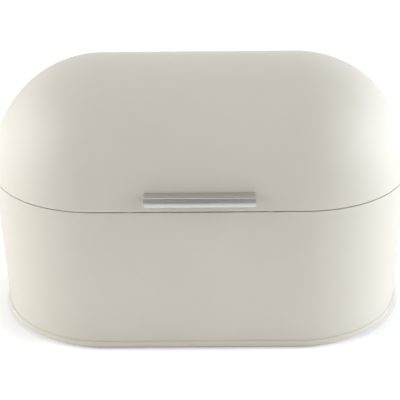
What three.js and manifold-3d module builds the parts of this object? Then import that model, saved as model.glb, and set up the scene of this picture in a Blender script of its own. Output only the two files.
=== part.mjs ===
// Bread box with a domed lid
//
// A sheet-steel tub with round ends stands on four rubber feet. Its lid is half a capsule of the
// same plan. Two three-knuckle hinges carry the lid at the back, and an extruded aluminium grip
// low on its front lifts it. Millimetres, +Z up, the front faces -Y, and the origin lies on the
// floor under the middle of the box.

import * as THREE from 'three';
import { mergeVertices } from 'three/addons/utils/BufferGeometryUtils.js';
import Module from 'manifold-3d';

const wasm = await Module();
wasm.setup();

// Overall sizes
const bodyLength = 420;
const bodyDepth = 226;
const tubHeight = 150;
const footLift = 1;
const seamGap = 0.9;
const sheet = 1;
const clearance = 0.3;

// How far a cutter reaches past each face, and the distance under which two corners are one
const overrun = 3;
const weld = 1e-4;

// Counts of facets
const endSteps = 18;
const domeSteps = 12;
const edgeSteps = 3;
const roundSteps = 16;
const smallSteps = 12;

// What follows from the overall sizes: the plan is two half circles joined by straight sides
const endRadius = bodyDepth / 2;
const straightHalf = (bodyLength - bodyDepth) / 2;
const rimTop = footLift + tubHeight;
const seamMiddle = rimTop + seamGap / 2;
const lidBottom = rimTop + seamGap;

// Tub rim, turned inwards as a ledge with a hanging lip
const rimCorner = 0.8;
const ledgeWidth = 8;
const ledgeCorner = 1.6;
const lipDrop = 4;

// Base ring, a channel that holds the foot of the wall and the flange of the floor
const ringSheet = 1;
const ringBead = 2.5;
const ringBeadHeight = 7.7;
const ringWeb = 1.2;
const ringInnerLeg = 4;

// Floor pan, with a sunken middle
const floorSheet = 1;
const floorRise = 7;
const floorCorner = 2.5;
const panelInset = 22;
const panelSlope = 4;
const panelDrop = 1.5;

// Air holes in the back of the wall
const ventDiameter = 6;
const ventPitch = 16;
const ventCount = 5;
const ventHeightShare = 0.62;

// Rolled edge of the lid
const rollRadius = 1.1;
const rollProud = 0.6;

// Hinges
const hingeSpreadShare = 0.62;
const hingeWidth = 36;
const hingeSheet = 1.3;
const knuckleRadius = 2.8;
const pinRadius = 1.2;
const pinHeadRadius = 2.2;
const pinHeadHeight = 1;
const bodyLeafLength = 18;
const lidLeafLength = 16;
const rollFlatMargin = 2.5;
const stopWidth = 8;
const stopReach = 7;
const stopOpenDegrees = 95;

// Rivets of the hinge leaves
const rivetSpread = 22;
const rivetBodyDrop = 11;
const rivetLidRise = 10;
const rivetShank = 1.5;
const rivetHeadRadius = 3.1;
const rivetHeadHeight = 1.5;
const rivetTailRadius = 2.7;
const rivetTailHeight = 0.9;

// Grip, an extrusion whose hooked lip stands clear of the lid
const gripLength = 101;
const gripReach = 12;
const gripTop = 20;
const lipBottom = 9.6;
const lipThickness = 2.4;
const lipCurl = 6.5;
const shelfThickness = 1.8;
const shelfDish = 0.7;
const shelfEdge = 0.5;
const flangeThickness = 1.8;
const flangeBottom = 6.5;
const fingerCorner = 1.6;

// Screws and washers of the grip
const screwSpread = 76;
const screwRise = 12.6;
const screwRadius = 2;
const screwHeadRadius = 3.8;
const screwHeadHeight = 2.2;
const screwRecessWidth = 1.1;
const screwRecessLength = 4.2;
const screwRecessDepth = 1.3;
const washerRadius = 4.6;
const washerThickness = 0.8;

// Push-in feet
const footSpreadLong = 236;
const footSpreadDeep = 128;
const footRadius = 9;
const footEdge = 1.2;
const footStemRadius = 2.5;
const footBarbRadius = 4;
const footBarbHeight = 1.6;

// Push-in buffers that the lid comes down on
const bufferSpread = 128;
const bufferHeadRadius = 3;
const bufferStemRadius = 1.3;
const bufferBarbRadius = 2.1;
const bufferBarbHeight = 2.4;

// Finishes
const finish = (color, roughness, metalness) =>
  new THREE.MeshStandardMaterial({ color, roughness, metalness });
const paint = finish(0xd9d3c6, 0.55, 0);
const anodised = finish(0xb4b5b4, 0.38, 1);
const plated = finish(0xa9abad, 0.34, 1);
const rubber = finish(0x2a2a2b, 0.85, 0);
const silicone = finish(0xcfd0cc, 0.5, 0);

const point = (x, y) => new THREE.Vector2(x, y);

// Points of an ellipse's arc in the plane, both ends included
function ellipse(centreX, centreY, radiusX, radiusY, from, to, steps) {
  const points = [];
  for (let step = 0; step <= steps; step += 1) {
    const angle = from + (to - from) * step / steps;
    points.push(point(centreX + radiusX * Math.cos(angle), centreY + radiusY * Math.sin(angle)));
  }
  return points;
}

const arc = (centreX, centreY, radius, from, to, steps) =>
  ellipse(centreX, centreY, radius, radius, from, to, steps);

// A closed outline of (distance from the spine, height), counterclockwise, carried once round
// the plan. An edge of the outline that lies on the spine makes no face.
function roundThePlan(outline) {
  const stations = [];
  for (const end of [1, -1]) {
    for (let step = 0; step <= endSteps; step += 1) {
      const turn = Math.PI * (step / endSteps - end / 2);
      stations.push({ x: end * straightHalf, cos: Math.cos(turn), sin: Math.sin(turn) });
    }
  }
  const positions = [];
  for (const station of stations) {
    for (const { x: out, y: up } of outline) {
      positions.push(station.x + out * station.cos, out * station.sin, up);
    }
  }
  const count = outline.length;
  const index = [];
  stations.forEach((station, here) => {
    const next = (here + 1) % stations.length;
    const sameEnd = stations[next].x === station.x;
    outline.forEach((corner, low) => {
      const high = (low + 1) % count;
      const lowOnSpine = corner.x === 0;
      const highOnSpine = outline[high].x === 0;
      if (lowOnSpine && highOnSpine) return;
      const [a, b, c, d] = [here * count + low, next * count + low, next * count + high, here * count + high];
      if (!(sameEnd && lowOnSpine)) index.push(a, b, c);
      if (!(sameEnd && highOnSpine)) index.push(a, c, d);
    });
  });
  const geometry = new THREE.BufferGeometry();
  geometry.setAttribute('position', new THREE.Float32BufferAttribute(positions, 3));
  geometry.setIndex(index);
  return mergeVertices(geometry, weld);
}

// A shape drawn in (Y, Z) and extruded along X, centred on x = 0
function alongX(outline, width, hole) {
  const shape = new THREE.Shape(outline);
  if (hole) shape.holes.push(new THREE.Path(hole));
  const geometry = new THREE.ExtrudeGeometry(shape, { depth: width, bevelEnabled: false });
  geometry.translate(0, 0, -width / 2);
  const axes = new THREE.Matrix4().makeBasis(
    new THREE.Vector3(0, 1, 0),
    new THREE.Vector3(0, 0, 1),
    new THREE.Vector3(1, 0, 0),
  );
  return geometry.applyMatrix4(axes);
}

// A turned piece whose axis is Y, from an outline of (radius, place along the axis)
const turned = (outline, steps) => new THREE.LatheGeometry([...outline, outline[0]], steps);

// Boolean cuts and joins
function toSolid(geometry) {
  const bare = geometry.clone();
  bare.deleteAttribute('normal');
  bare.deleteAttribute('uv');
  const closed = mergeVertices(bare, weld);
  return new wasm.Manifold(new wasm.Mesh({
    numProp: 3,
    vertProperties: new Float32Array(closed.attributes.position.array),
    triVerts: new Uint32Array(closed.index.array),
  }));
}

function toGeometry(solid) {
  const mesh = solid.getMesh();
  const geometry = new THREE.BufferGeometry();
  geometry.setAttribute('position', new THREE.BufferAttribute(mesh.vertProperties, 3));
  geometry.setIndex(new THREE.BufferAttribute(mesh.triVerts, 1));
  return geometry;
}

function cut(geometry, tools) {
  return toGeometry(tools.reduce((solid, tool) => solid.subtract(toSolid(tool)), toSolid(geometry)));
}

const box = (width, depth, height, x, y, z) =>
  new THREE.BoxGeometry(width, depth, height).translate(x, y, z);

// A drill through a wall at (x, y, z), its axis tilted up from Y
function drill(radius, wall, [x, y, z], tilt = 0) {
  const length = 2 * (wall + overrun);
  return new THREE.CylinderGeometry(radius, radius, length, smallSteps).rotateX(tilt).translate(x, y, z);
}

// A named mesh, its Y axis tilted up by an angle where one is given
function piece(name, geometry, material, place = [0, 0, 0], tilt = 0) {
  const mesh = new THREE.Mesh(geometry, material);
  mesh.name = name;
  mesh.position.set(...place);
  mesh.rotation.x = tilt;
  return mesh;
}

const upright = Math.PI / 2;
const sides = [['left', -1], ['right', 1]];

// Hinge places: the pin lies just behind the wall at the height of the seam
const hingeOffset = straightHalf * hingeSpreadShare;
const pinY = endRadius + clearance + knuckleRadius;
const boreRadius = pinRadius + clearance;
const knuckleWidth = hingeWidth / 3;

// Places on the dome, as angles above its centre line
const lidRivetAngle = rivetLidRise / endRadius;
const screwAngle = Math.asin(screwRise / endRadius);

// A point on a circle round the dome's centre line, at the front (-1) or the back (1)
function onDome(x, radius, angle, side) {
  return [x, side * radius * Math.cos(angle), seamMiddle + radius * Math.sin(angle)];
}

// A tilt that turns the Y axis outwards there
const outwards = (angle, side) => (side > 0 ? angle : Math.PI - angle);

// Tub wall
const wallFoot = footLift + ringWeb + clearance;

function tubWall() {
  const ledgeInner = endRadius - ledgeWidth;
  const outline = [
    point(endRadius, wallFoot),
    ...arc(endRadius - rimCorner, rimTop - rimCorner, rimCorner, 0, Math.PI / 2, edgeSteps),
    ...arc(ledgeInner + ledgeCorner, rimTop - ledgeCorner, ledgeCorner, Math.PI / 2, Math.PI, edgeSteps),
    point(ledgeInner, rimTop - lipDrop),
    point(ledgeInner + sheet, rimTop - lipDrop),
    ...arc(
      ledgeInner + ledgeCorner, rimTop - ledgeCorner, ledgeCorner - sheet, Math.PI, Math.PI / 2, edgeSteps,
    ),
    point(endRadius - sheet, rimTop - sheet),
    point(endRadius - sheet, wallFoot),
  ];
  const drills = [];
  for (let hole = 0; hole < ventCount; hole += 1) {
    const x = (hole - (ventCount - 1) / 2) * ventPitch;
    drills.push(drill(ventDiameter / 2, sheet, [x, endRadius, rimTop * ventHeightShare]));
  }
  for (const [, side] of sides) {
    for (const [, offset] of sides) {
      const x = side * hingeOffset + offset * rivetSpread / 2;
      drills.push(drill(rivetShank + clearance, sheet, [x, endRadius, seamMiddle - rivetBodyDrop]));
    }
  }
  for (const { x, y } of bufferPlaces()) {
    drills.push(drill(bufferStemRadius + clearance, sheet, [x, y, rimTop], upright));
  }
  return cut(roundThePlan(outline), drills);
}

// Base ring
function baseRing() {
  const outside = endRadius + clearance + ringSheet;
  const channelOut = endRadius + clearance;
  const channelIn = endRadius - sheet - clearance - floorSheet - clearance;
  const inside = channelIn - ringSheet;
  const beadCentre = outside - ringBead;
  const beadMiddle = footLift + ringBeadHeight / 2;
  const beadEnd = Math.acos((channelOut - beadCentre) / ringBead);
  const outline = [
    point(inside, footLift),
    ...ellipse(beadCentre, beadMiddle, ringBead, ringBeadHeight / 2, -Math.PI / 2, beadEnd, 2 * edgeSteps),
    point(channelOut, footLift + ringWeb),
    point(channelIn, footLift + ringWeb),
    point(channelIn, footLift + ringInnerLeg),
    point(inside, footLift + ringInnerLeg),
  ];
  return roundThePlan(outline);
}

// Floor pan, its flange inside the foot of the wall
const floorTop = footLift + floorRise;
const panelTop = floorTop - panelDrop;

function tubFloor() {
  const flangeOut = endRadius - sheet - clearance;
  const flangeIn = flangeOut - floorSheet;
  const panelEdge = endRadius - panelInset;
  const cornerX = flangeOut - floorCorner;
  const cornerZ = floorTop - floorCorner;
  const innerCorner = floorCorner - floorSheet;
  const outline = [
    point(0, panelTop - floorSheet),
    point(panelEdge - panelSlope, panelTop - floorSheet),
    point(panelEdge, floorTop - floorSheet),
    ...arc(cornerX, cornerZ, innerCorner, Math.PI / 2, 0, edgeSteps),
    point(flangeIn, wallFoot),
    point(flangeOut, wallFoot),
    ...arc(cornerX, cornerZ, floorCorner, 0, Math.PI / 2, edgeSteps),
    point(panelEdge, floorTop),
    point(panelEdge - panelSlope, panelTop),
    point(0, panelTop),
  ];
  const drills = footPlaces().map(({ x, y }) =>
    drill(footStemRadius + clearance, floorSheet, [x, y, panelTop], upright));
  return cut(roundThePlan(outline), drills);
}

// Feet
function footPlaces() {
  const places = [];
  for (const [depthName, depthSide] of [['front', -1], ['rear', 1]]) {
    for (const [lengthName, lengthSide] of sides) {
      const x = lengthSide * footSpreadLong / 2;
      places.push({ name: `foot_${depthName}_${lengthName}`, x, y: depthSide * footSpreadDeep / 2 });
    }
  }
  return places;
}

function foot() {
  const shoulder = panelTop - floorSheet - clearance;
  const barbFoot = panelTop + clearance;
  return turned([
    point(0, 0),
    point(footRadius - footEdge, 0),
    point(footRadius, footEdge),
    point(footRadius, shoulder),
    point(footStemRadius, shoulder),
    point(footStemRadius, barbFoot),
    point(footBarbRadius, barbFoot),
    point(footStemRadius, barbFoot + footBarbHeight),
    point(0, barbFoot + footBarbHeight),
  ], roundSteps);
}

// Buffers, two at the front and one at each end
function bufferPlaces() {
  const inset = endRadius - bufferHeadRadius - rimCorner / 2;
  const places = [];
  for (const [name, side] of sides) {
    places.push({ name: `buffer_front_${name}`, x: side * bufferSpread / 2, y: -inset });
    places.push({ name: `buffer_end_${name}`, x: side * (straightHalf + inset), y: 0 });
  }
  return places;
}

function buffer() {
  const head = seamGap - clearance;
  const barbTop = -sheet - clearance;
  return turned([
    point(0, head),
    point(0, barbTop - bufferBarbHeight),
    point(bufferStemRadius, barbTop - bufferBarbHeight),
    point(bufferBarbRadius, barbTop),
    point(bufferStemRadius, barbTop),
    point(bufferStemRadius, 0),
    point(bufferHeadRadius, 0),
    point(bufferHeadRadius, head),
  ], smallSteps);
}

// Lid shell: half a capsule with its lower edge rolled round
function lidShell() {
  const inner = endRadius - sheet;
  const rollX = endRadius + rollProud - rollRadius;
  const rollZ = lidBottom + rollRadius;
  const outerStart = Math.acos((endRadius - rollX) / rollRadius);
  const innerStart = Math.acos((inner - rollX) / rollRadius);
  const lowest = (radius, angle) => Math.asin((rollZ + rollRadius * Math.sin(angle) - seamMiddle) / radius);
  const outline = [
    ...arc(rollX, rollZ, rollRadius, innerStart, outerStart + 2 * Math.PI, 3 * edgeSteps),
    ...arc(0, seamMiddle, endRadius, lowest(endRadius, outerStart), Math.PI / 2, domeSteps).slice(1, -1),
    point(0, seamMiddle + endRadius),
    point(0, seamMiddle + inner),
    ...arc(0, seamMiddle, inner, Math.PI / 2, lowest(inner, innerStart), domeSteps).slice(1, -1),
  ];
  const tools = [];
  const flatWidth = hingeWidth + 2 * rollFlatMargin;
  const flatDepth = rollProud + overrun;
  const flatHeight = 2 * (rollRadius + overrun);
  for (const [, side] of sides) {
    const flatY = endRadius + flatDepth / 2;
    tools.push(box(flatWidth, flatDepth, flatHeight, side * hingeOffset, flatY, rollZ));
    for (const [, offset] of sides) {
      const place = onDome(side * hingeOffset + offset * rivetSpread / 2, endRadius, lidRivetAngle, 1);
      tools.push(drill(rivetShank + clearance, sheet, place, lidRivetAngle));
    }
    const screwPlace = onDome(side * screwSpread / 2, endRadius, screwAngle, -1);
    tools.push(drill(screwRadius + clearance, sheet, screwPlace, outwards(screwAngle, -1)));
  }
  return cut(roundThePlan(outline), tools);
}

// Grip, drawn at the front of the lid: its flange follows the dome, its lip hooks down
function lidGrip() {
  const seat = endRadius + clearance;
  const front = -(endRadius + gripReach);
  const lipInner = front + lipThickness;
  const topZ = seamMiddle + gripTop;
  const underShelf = topZ - shelfThickness - shelfDish;
  const backAngle = (rise, radius) => Math.PI - Math.asin(rise / radius);
  const flangeFront = seat + flangeThickness;
  const topBackY = -seat * Math.cos(Math.asin(gripTop / seat));
  const shelfRun = topBackY - (front + shelfEdge);
  const dishRadius = (shelfRun ** 2 / 4 + shelfDish ** 2) / (2 * shelfDish);
  const dishHalf = Math.asin(shelfRun / 2 / dishRadius);
  const dishMiddle = topBackY - shelfRun / 2;
  const dish = arc(
    dishMiddle, topZ - shelfDish + dishRadius, dishRadius,
    -Math.PI / 2 + dishHalf, -Math.PI / 2 - dishHalf, 2 * edgeSteps,
  );
  const edge = arc(front + shelfEdge, topZ - shelfEdge, shelfEdge, Math.PI / 2, Math.PI, edgeSteps);
  const curlZ = seamMiddle + lipBottom + lipCurl;
  const curl = ellipse(lipInner, curlZ, lipThickness, lipCurl, Math.PI, 1.5 * Math.PI, 2 * edgeSteps);
  const lipCorner = arc(
    lipInner + fingerCorner, underShelf - fingerCorner, fingerCorner, Math.PI, Math.PI / 2, edgeSteps,
  );
  const underTopAngle = backAngle(underShelf - seamMiddle, flangeFront);
  const flangeFrontFace = arc(
    0, seamMiddle, flangeFront, underTopAngle, backAngle(flangeBottom, flangeFront), edgeSteps,
  );
  const flangeBackFace = arc(
    0, seamMiddle, seat, backAngle(flangeBottom, seat), backAngle(gripTop, seat), edgeSteps,
  );
  const top = [...dish.slice(1), ...edge.slice(1)];
  const outline = [...flangeBackFace, ...top, ...curl, ...lipCorner, ...flangeFrontFace];
  const drills = sides.map(([, side]) => drill(
    screwRadius + clearance, flangeThickness,
    onDome(side * screwSpread / 2, seat, screwAngle, -1), outwards(screwAngle, -1),
  ));
  return cut(alongX(outline, gripLength), drills);
}

// Grip screw: its axis is Y, the head inside the lid, and y = 0 is the inner face of the lid
function gripScrew() {
  const headFoot = -clearance - washerThickness - clearance;
  const tip = sheet + clearance + flangeThickness;
  const crown = screwHeadRadius / 2;
  const outline = [
    point(0, tip),
    point(0, headFoot - screwHeadHeight),
    point(crown, headFoot - screwHeadHeight),
    point(screwHeadRadius, headFoot - screwHeadHeight / 2),
    point(screwHeadRadius, headFoot),
    point(screwRadius, headFoot),
    point(screwRadius, tip),
  ];
  const recessY = headFoot - screwHeadHeight;
  const recess = [
    box(screwRecessLength, 2 * screwRecessDepth, screwRecessWidth, 0, recessY, 0),
    box(screwRecessWidth, 2 * screwRecessDepth, screwRecessLength, 0, recessY, 0),
  ];
  return cut(turned(outline, roundSteps), recess);
}

function gripWasher() {
  const bore = screwRadius + clearance;
  return turned([
    point(bore, -clearance),
    point(bore, -clearance - washerThickness),
    point(washerRadius, -clearance - washerThickness),
    point(washerRadius, -clearance),
  ], roundSteps);
}

// Rivet: its axis is Y, and y = 0 is the outer face of the leaf
function rivet() {
  const tailTop = -hingeSheet - clearance - sheet - clearance;
  const crown = ellipse(0, clearance, rivetHeadRadius, rivetHeadHeight, 0, Math.PI / 2, edgeSteps);
  return turned([
    point(0, tailTop - rivetTailHeight),
    point(rivetTailRadius, tailTop - rivetTailHeight),
    point(rivetTailRadius, tailTop),
    point(rivetShank, tailTop),
    point(rivetShank, clearance),
    ...crown.slice(0, -1),
    point(0, clearance + rivetHeadHeight),
  ], smallSteps);
}

// Hinge leaves, drawn round the pin: y = 0 and z = 0 there
const leafFace = hingeSheet - knuckleRadius;
const pinBore = () => arc(0, 0, boreRadius, 0, 2 * Math.PI, smallSteps).slice(1);

function bodyLeaf() {
  const meets = Math.PI + Math.acos(-leafFace / knuckleRadius);
  const outline = [
    point(-knuckleRadius, -bodyLeafLength),
    point(leafFace, -bodyLeafLength),
    ...arc(0, 0, knuckleRadius, meets - 2 * Math.PI, Math.PI, roundSteps),
  ];
  const leaf = toSolid(alongX(outline, hingeWidth, pinBore()));
  const gap = knuckleWidth + 2 * clearance;
  const reach = knuckleRadius + clearance;
  const middle = toSolid(box(gap, 2 * (knuckleRadius + overrun), 2 * reach, 0, 0, 0));
  const holes = sides.map(([, side]) => toSolid(drill(
    rivetShank + clearance, hingeSheet, [side * rivetSpread / 2, leafFace, -rivetBodyDrop],
  )));
  const opened = holes.reduce((solid, hole) => solid.subtract(hole), leaf.subtract(middle));
  return toGeometry(opened.add(toSolid(stopTab())));
}

// The stop passes under the lid's knuckle and turns up behind it, to meet the opened lid leaf
function stopTab() {
  const webTop = -knuckleRadius - 2 * clearance;
  const webBottom = webTop - hingeSheet;
  const uprightInner = stopReach - hingeSheet;
  const stopAngle = THREE.MathUtils.degToRad(stopOpenDegrees);
  const leafOuterRadius = endRadius + clearance + hingeSheet;
  const bow = leafOuterRadius - Math.sqrt(leafOuterRadius ** 2 - stopReach ** 2);
  const openedLeaf = (bow - leafFace) * Math.sin(stopAngle) + stopReach * Math.cos(stopAngle);
  const top = openedLeaf - clearance;
  return alongX([
    point(leafFace - hingeSheet / 2, webBottom),
    point(stopReach, webBottom),
    point(stopReach, top),
    point(uprightInner, top),
    point(uprightInner, webTop),
    point(leafFace - hingeSheet / 2, webTop),
  ], stopWidth);
}

function lidLeaf() {
  const inner = endRadius + clearance;
  const outer = inner + hingeSheet;
  const rise = lidLeafLength / inner;
  const meets = Math.PI - Math.acos(-leafFace / knuckleRadius);
  const firstRise = Math.asin(knuckleRadius * Math.sin(meets) / outer);
  const outline = [
    ...arc(0, 0, knuckleRadius, -Math.PI, meets, roundSteps).slice(0, -1),
    ...arc(-pinY, 0, outer, firstRise, rise, edgeSteps),
    ...arc(-pinY, 0, inner, rise, 0, edgeSteps).slice(0, -1),
  ];
  const tools = [];
  const sideWidth = hingeWidth / 2;
  const reach = knuckleRadius + clearance;
  for (const [, side] of sides) {
    const x = side * (knuckleWidth / 2 - clearance + sideWidth / 2);
    tools.push(box(sideWidth, 2 * (knuckleRadius + overrun), 2 * reach, x, 0, 0));
    const [, y, z] = onDome(0, outer, lidRivetAngle, 1);
    const place = [side * rivetSpread / 2, y - pinY, z - seamMiddle];
    tools.push(drill(rivetShank + clearance, hingeSheet, place, lidRivetAngle));
  }
  return cut(alongX(outline, hingeWidth, pinBore()), tools);
}

// Pin with a flat head at each end, its axis Y until it is laid along X
function hingePin() {
  const end = hingeWidth / 2 + clearance;
  return turned([
    point(0, -end - pinHeadHeight),
    point(pinHeadRadius, -end - pinHeadHeight),
    point(pinHeadRadius, -end),
    point(pinRadius, -end),
    point(pinRadius, end),
    point(pinHeadRadius, end),
    point(pinHeadRadius, end + pinHeadHeight),
    point(0, end + pinHeadHeight),
  ], smallSteps);
}

function hinge(name, side) {
  const group = new THREE.Group();
  group.position.set(side * hingeOffset, pinY, seamMiddle);
  const pin = piece(`hinge_${name}_pin`, hingePin(), plated);
  pin.rotation.z = upright;
  group.add(
    piece(`hinge_${name}_body_leaf`, bodyLeaf(), plated),
    piece(`hinge_${name}_lid_leaf`, lidLeaf(), plated),
    pin,
  );
  const [, lidY, lidZ] = onDome(0, endRadius + clearance + hingeSheet, lidRivetAngle, 1);
  for (const [where, offset] of [['inner', -side], ['outer', side]]) {
    const x = offset * rivetSpread / 2;
    const bodyPlace = [x, leafFace, -rivetBodyDrop];
    const lidPlace = [x, lidY - pinY, lidZ - seamMiddle];
    group.add(
      piece(`rivet_${name}_body_${where}`, rivet(), plated, bodyPlace),
      piece(`rivet_${name}_lid_${where}`, rivet(), plated, lidPlace, lidRivetAngle),
    );
  }
  return group;
}

// Assembly
const breadBox = new THREE.Group();

const tub = new THREE.Group();
tub.add(piece('tub_wall', tubWall(), paint));
tub.add(piece('base_ring', baseRing(), paint));
tub.add(piece('tub_floor', tubFloor(), paint));
for (const { name, x, y } of footPlaces()) tub.add(piece(name, foot(), rubber, [x, y, 0], upright));
for (const { name, x, y } of bufferPlaces()) {
  tub.add(piece(name, buffer(), silicone, [x, y, rimTop], upright));
}

const lid = new THREE.Group();
lid.add(piece('lid_shell', lidShell(), paint));
lid.add(piece('lid_grip', lidGrip(), anodised));
for (const [name, side] of sides) {
  const place = onDome(side * screwSpread / 2, endRadius - sheet, screwAngle, -1);
  const tilt = outwards(screwAngle, -1);
  lid.add(piece(`grip_screw_${name}`, gripScrew(), plated, place, tilt));
  lid.add(piece(`grip_washer_${name}`, gripWasher(), plated, place, tilt));
}

breadBox.add(tub, lid);
for (const [name, side] of sides) breadBox.add(hinge(name, side));

export default breadBox;
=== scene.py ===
# Looks of the bread box with a domed lid. Metres, +Z up, the grip faces -Y.
#
# The sheet work, the grip, the hinges and the fittings are made again here as fine meshes on the
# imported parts' own sizes. They get painted, anodised, plated, rubber and silicone finishes.

import math

import bmesh
import bpy
from mathutils import Matrix, Vector


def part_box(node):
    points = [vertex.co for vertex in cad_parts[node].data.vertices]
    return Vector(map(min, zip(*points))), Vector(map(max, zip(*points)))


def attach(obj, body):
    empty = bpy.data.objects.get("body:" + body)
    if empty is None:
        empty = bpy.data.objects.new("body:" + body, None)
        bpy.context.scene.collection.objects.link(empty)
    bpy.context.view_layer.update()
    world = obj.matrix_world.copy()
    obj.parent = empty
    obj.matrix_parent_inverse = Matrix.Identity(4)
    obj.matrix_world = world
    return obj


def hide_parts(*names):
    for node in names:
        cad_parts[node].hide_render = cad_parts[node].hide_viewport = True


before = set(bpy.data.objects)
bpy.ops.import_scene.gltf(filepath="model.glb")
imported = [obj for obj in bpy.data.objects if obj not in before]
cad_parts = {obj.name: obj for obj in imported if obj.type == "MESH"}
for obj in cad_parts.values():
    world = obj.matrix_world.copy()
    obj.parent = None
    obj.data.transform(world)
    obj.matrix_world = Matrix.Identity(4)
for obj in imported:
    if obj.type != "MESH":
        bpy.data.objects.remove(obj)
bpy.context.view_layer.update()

MM = 0.001
HALF_TURN = math.pi
QUARTER = math.pi / 2

# Sizes read from the frame
wall_low, wall_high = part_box("tub_wall")
ring_low, ring_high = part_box("base_ring")
RADIUS = wall_high.y
STRAIGHT = wall_high.x - RADIUS
RIM_TOP = wall_high.z
WALL_FOOT = wall_low.z
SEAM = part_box("lid_shell")[1].z - RADIUS
LID_BOTTOM = 2 * SEAM - RIM_TOP
RING_FOOT = ring_low.z
RING_OUT = ring_high.y
FLOOR_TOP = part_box("tub_floor")[1].z

# Sizes of the sheet work
SHEET = 1 * MM
GAP = 0.3 * MM
HOLD = 0.6 * MM
RIM_CORNER = 0.5 * MM
LEDGE_WIDTH = 8 * MM
LEDGE_CORNER = 1.6 * MM
LIP_DROP = 4 * MM
RING_BEAD = 2.5 * MM
RING_BEAD_HEIGHT = 7.7 * MM
RING_WEB = 1.2 * MM
RING_LEG = 4 * MM
FLOOR_CORNER = 2.5 * MM
PANEL_INSET = 22 * MM
PANEL_SLOPE = 4 * MM
PANEL_DROP = 1.5 * MM
PANEL_TOP = FLOOR_TOP - PANEL_DROP
HEM_WIDTH = 1.25 * MM
HEM_HEIGHT = 2 * MM
HEM_DROP = 0.36 * MM

# Counts of steps
END_STEPS = 72
STRAIGHT_STEPS = 16
DOME_STEPS = 64
EDGE_STEPS = 8
ROUND_STEPS = 48
BEVEL_STEPS = 2

# Tolerances: points nearer than these become one, and edges that turn more than these angles are
# sharp or get a bevel
ON_AXIS = 0.001 * MM
AFTER_CUTS = 0.002 * MM
IN_MESH = 0.001 * MM
IN_OUTLINE = 0.0001 * MM
SHARP_ANGLE = math.radians(35)
BEVEL_ANGLE = math.radians(40)


# Outlines in the plane
def ellipse(centre_x, centre_y, radius_x, radius_y, start, end, steps):
    points = []
    for step in range(steps + 1):
        angle = start + (end - start) * step / steps
        points.append((centre_x + radius_x * math.cos(angle), centre_y + radius_y * math.sin(angle)))
    return points


def arc(centre_x, centre_y, radius, start, end, steps=EDGE_STEPS):
    return ellipse(centre_x, centre_y, radius, radius, start, end, steps)


def run(start, end, hold=HOLD):
    """A straight stretch with a point close to each end, which keeps its shading flat."""
    start, end = Vector(start), Vector(end)
    length = (end - start).length
    if length < 3 * hold:
        return [tuple(start), tuple(end)]
    step = (end - start) * (hold / length)
    return [tuple(start), tuple(start + step), tuple(end - step), tuple(end)]


def joined(*stretches):
    """One outline of several stretches, without the points that repeat."""
    points = []
    for stretch in stretches:
        for point in stretch:
            if not points or (Vector(point) - Vector(points[-1])).length > IN_OUTLINE:
                points.append(point)
    if (Vector(points[0]) - Vector(points[-1])).length < IN_OUTLINE:
        points.pop()
    return points


# Meshes
def make_object(name, bm, material):
    bmesh.ops.remove_doubles(bm, verts=bm.verts, dist=IN_MESH)
    bmesh.ops.recalc_face_normals(bm, faces=bm.faces)
    mesh = bpy.data.meshes.new(name)
    bm.to_mesh(mesh)
    bm.free()
    obj = bpy.data.objects.new(name, mesh)
    bpy.context.scene.collection.objects.link(obj)
    if material:
        mesh.materials.append(material)
    shade(mesh)
    return obj


def shade(mesh):
    mesh.polygons.foreach_set("use_smooth", [True] * len(mesh.polygons))
    mesh.set_sharp_from_angle(angle=SHARP_ANGLE)
    mesh.update()


def placed(place, tilt=0.0):
    """Moves a piece made at the origin to its place, tilted about X."""
    return Matrix.Translation(place) @ Matrix.Rotation(tilt, 4, "X")


def plan_stations():
    """Places round the plan, as (x of the arc's centre or of the straight side, cosine, sine)."""
    stations = []
    for end in (1, -1):
        for step in range(END_STEPS + 1):
            turn = HALF_TURN * (step / END_STEPS - end / 2)
            stations.append((end * STRAIGHT, math.cos(turn), math.sin(turn)))
        for step in range(1, STRAIGHT_STEPS):
            stations.append((end * STRAIGHT * (1 - 2 * step / STRAIGHT_STEPS), 0.0, float(end)))
    return stations


def skin(bm, rings, outline):
    """Faces between each ring of vertices and the next, apart from those on the axis."""
    for here, ring in enumerate(rings):
        after = rings[(here + 1) % len(rings)]
        for low in range(len(outline)):
            high = (low + 1) % len(outline)
            if max(outline[low][0], outline[high][0]) < ON_AXIS:
                continue
            bm.faces.new((ring[low], after[low], after[high], ring[high]))
    bmesh.ops.remove_doubles(bm, verts=bm.verts, dist=IN_MESH)
    bmesh.ops.dissolve_degenerate(bm, edges=bm.edges, dist=IN_OUTLINE)


def round_the_plan(name, outline, material):
    """A closed outline of (distance from the spine, height) carried once round the plan."""
    bm = bmesh.new()
    rings = []
    for centre, cosine, sine in plan_stations():
        rings.append([bm.verts.new((centre + out * cosine, out * sine, up)) for out, up in outline])
    skin(bm, rings, outline)
    return make_object(name, bm, material)


def turned(name, outline, material, matrix):
    """An outline of (radius, place along Y) turned round the Y axis, then put in place."""
    bm = bmesh.new()
    rings = []
    for step in range(ROUND_STEPS):
        angle = 2 * HALF_TURN * step / ROUND_STEPS
        ring = [(out * math.sin(angle), along, out * math.cos(angle)) for out, along in outline]
        rings.append([bm.verts.new(matrix @ Vector(corner)) for corner in ring])
    skin(bm, rings, outline)
    return make_object(name, bm, material)


def along_x(name, outline, width, material, offset=(0, 0, 0)):
    """An outline of (y, z) extruded along X, centred on x = 0, then moved by an offset."""
    bm = bmesh.new()
    near = [bm.verts.new((offset[0] - width / 2, offset[1] + y, offset[2] + z)) for y, z in outline]
    far = [bm.verts.new((offset[0] + width / 2, offset[1] + y, offset[2] + z)) for y, z in outline]
    bm.faces.new(near)
    bm.faces.new(far)
    for low in range(len(outline)):
        high = (low + 1) % len(outline)
        bm.faces.new((near[low], near[high], far[high], far[low]))
    return make_object(name, bm, material)


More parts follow.
